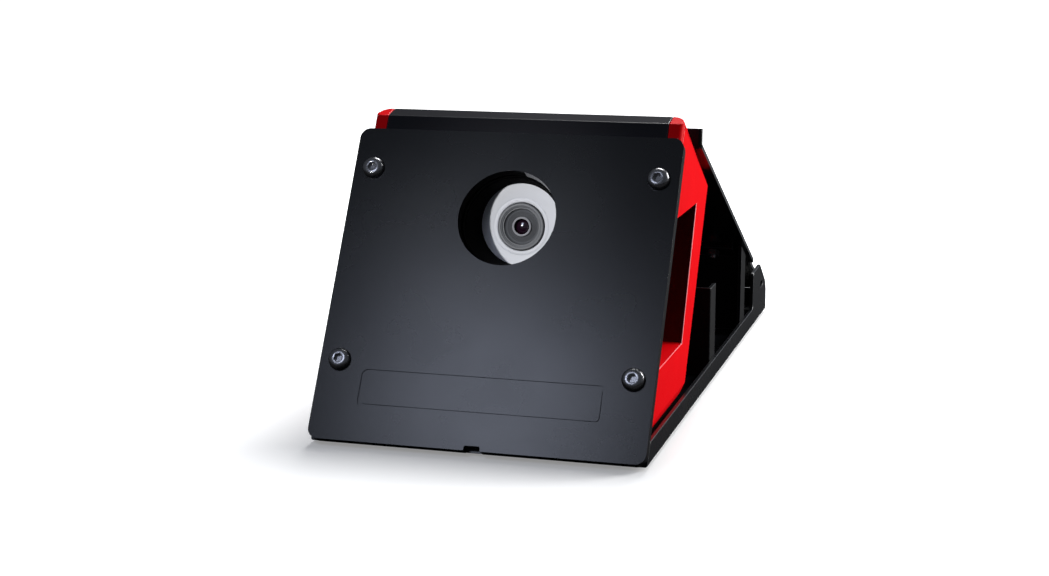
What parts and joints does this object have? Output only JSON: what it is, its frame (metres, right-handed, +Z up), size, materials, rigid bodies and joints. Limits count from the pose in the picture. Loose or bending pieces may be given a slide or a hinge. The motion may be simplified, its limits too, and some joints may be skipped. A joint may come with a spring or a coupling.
{
  "type": "launch monitor",
  "caption": "Leaning camera and radar unit for tracking ball flight, held in a wedge-shaped steel guard with a round window, screwed front plate, sloping rear panel and open cable bay.",
  "frame": {"origin": "under the centre of the overall box, on the ground the rubber feet stand on", "axes": "+Z up; +Y from the front plate to the rear, so the window faces -Y; +X to the right seen from the front"},
  "size_m": [0.21, 0.4606, 0.1927],
  "materials": {
    "satin_black_coating": "satin powder coat",
    "soft_black_plastic": "fine matt",
    "red_shell": "semi-gloss",
    "black_screw_steel": "black oxide, polished by wear",
    "plated_steel": "zinc plated",
    "black_rubber": "matt",
    "white_faceplate": "matt",
    "grey_lens_metal": "anodised",
    "dark_lens_glass": "coated",
    "brass_screw": "bare",
    "circuit_board": "solder mask",
    "aluminium": "bare",
    "battery_wrap": "shrink wrap",
    "clear_light_pipe": "clear"
  },
  "bodies": {
    "guard_and_unit": {"base_tray": "satin_black_coating", "battery_pack": "battery_wrap", "bay_rib_front": "satin_black_coating", "bay_rib_rear": "satin_black_coating", "button_switch": "plated_steel", "camera_body": "soft_black_plastic", "camera_faceplate": "white_faceplate", "camera_shelf": "plated_steel", "camera_shroud": "soft_black_plastic", "chassis_left": "plated_steel", "chassis_right": "plated_steel", "front_fascia": "soft_black_plastic", "front_guard_plate": "satin_black_coating", "guard_nut_lower_left": "plated_steel", "guard_nut_lower_right": "plated_steel", "guard_nut_upper_left": "plated_steel", "guard_nut_upper_right": "plated_steel", "guard_screw_lower_left": "black_screw_steel", "guard_screw_lower_right": "black_screw_steel", "guard_screw_upper_left": "black_screw_steel", "guard_screw_upper_right": "black_screw_steel", "guard_spacer_lower_left": "plated_steel", "guard_spacer_lower_right": "plated_steel", "guard_spacer_upper_left": "plated_steel", "guard_spacer_upper_right": "plated_steel", "heat_sink": "aluminium", "image_sensor_board": "circuit_board", "lens_barrel": "soft_black_plastic", "lens_front_glass": "dark_lens_glass", "lens_front_ring": "grey_lens_metal", "main_board": "circuit_board", "network_socket": "plated_steel", "panel_nut_left": "plated_steel", "panel_nut_right": "plated_steel", "panel_screw_1": "black_screw_steel", "panel_screw_2": "black_screw_steel", "panel_screw_3": "black_screw_steel", "panel_screw_4": "black_screw_steel", "panel_spacer_left": "plated_steel", "panel_spacer_right": "plated_steel", "power_socket": "plated_steel", "radar_antenna_board": "circuit_board", "radar_heat_spreader": "aluminium", "rear_cover": "soft_black_plastic", "rear_guard_panel": "satin_black_coating", "rubber_foot_front_left": "black_rubber", "rubber_foot_front_right": "black_rubber", "rubber_foot_rear_left": "black_rubber", "rubber_foot_rear_right": "black_rubber", "side_cover_left": "red_shell", "side_cover_right": "red_shell", "status_light": "clear_light_pipe", "top_cap": "soft_black_plastic", "unit_base": "soft_black_plastic"},
    "power_button": {"power_button": "soft_black_plastic"},
    "focus_ring": {"focus_ring": "soft_black_plastic", "lens_lock_screw": "brass_screw"},
    "iris_ring": {"iris_ring": "soft_black_plastic"}
  },
  "joints": [
    {"name": "power_button_press", "type": "slide", "parent": "guard_and_unit", "child": "power_button", "axis": [0, -0.8652, 0.5015], "range_m": [0, 0.0012], "stiffness_N_per_m": 400},
    {"name": "focus_ring_turn", "type": "hinge", "parent": "guard_and_unit", "child": "focus_ring", "pos_m": [0, -0.12475, 0.1228], "axis": [0, -0.9848, 0.1736], "range_deg": [-60, 60]},
    {"name": "iris_ring_turn", "type": "hinge", "parent": "guard_and_unit", "child": "iris_ring", "pos_m": [0, -0.12475, 0.1228], "axis": [0, -0.9848, 0.1736], "range_deg": [-35, 35]}
  ]
}
